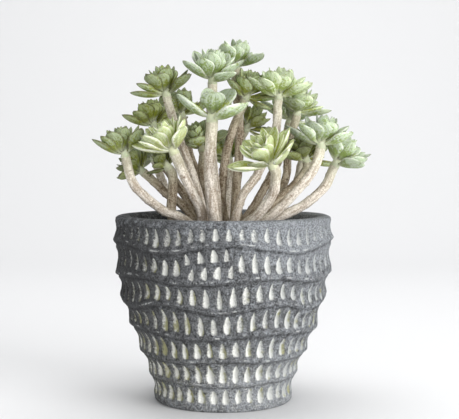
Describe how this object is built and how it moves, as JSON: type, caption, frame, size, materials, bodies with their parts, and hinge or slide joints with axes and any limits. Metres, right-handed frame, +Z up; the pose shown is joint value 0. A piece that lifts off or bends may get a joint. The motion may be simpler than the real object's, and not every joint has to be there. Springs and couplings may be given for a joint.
{
  "type": "potted succulent",
  "caption": "Bushy rosette succulent with bare curving stems, planted in a round dark pot with wavy ridges and rows of teardrop gouges.",
  "frame": {"origin": "centre of the pot's flat underside", "axes": "+Z up, -Y towards the front of the plant, +X to the plant's right as seen from the front"},
  "size_m": [0.1518, 0.1343, 0.1988],
  "materials": {
    "pot": "matte",
    "soil": "matte",
    "stem": "matte",
    "leaf_pale": "matte",
    "leaf_fresh": "matte",
    "leaf_olive": "matte"
  },
  "bodies": {
    "root": {"pot": "pot", "soil": "soil", "stem_01": "stem", "stem_02": "stem", "stem_03": "stem", "stem_04": "stem", "stem_05": "stem", "stem_06": "stem", "stem_07": "stem", "stem_08": "stem", "stem_09": "stem", "stem_10": "stem", "stem_11": "stem", "stem_12": "stem", "stem_13": "stem", "stem_14": "stem", "stem_15": "stem", "stem_16": "stem", "stem_17": "stem", "stem_18": "stem", "stem_19": "stem", "stem_20": "stem", "stem_21": "stem", "stem_22": "stem", "stem_23": "stem", "rosette_01": "leaf_pale", "rosette_02": "leaf_fresh", "rosette_03": "leaf_fresh", "rosette_04": "leaf_pale", "rosette_05": "leaf_pale", "rosette_06": "leaf_fresh", "rosette_07": "leaf_pale", "rosette_08": "leaf_fresh", "rosette_09": "leaf_fresh", "rosette_10": "leaf_pale", "rosette_11": "leaf_fresh", "rosette_12": "leaf_fresh", "rosette_13": "leaf_olive", "rosette_14": "leaf_olive", "rosette_15": "leaf_olive", "rosette_16": "leaf_fresh", "rosette_17": "leaf_olive", "rosette_18": "leaf_olive", "rosette_19": "leaf_fresh", "rosette_20": "leaf_pale", "rosette_21": "leaf_fresh", "rosette_22": "leaf_pale", "rosette_23": "leaf_fresh"}
  },
  "joints": []
}
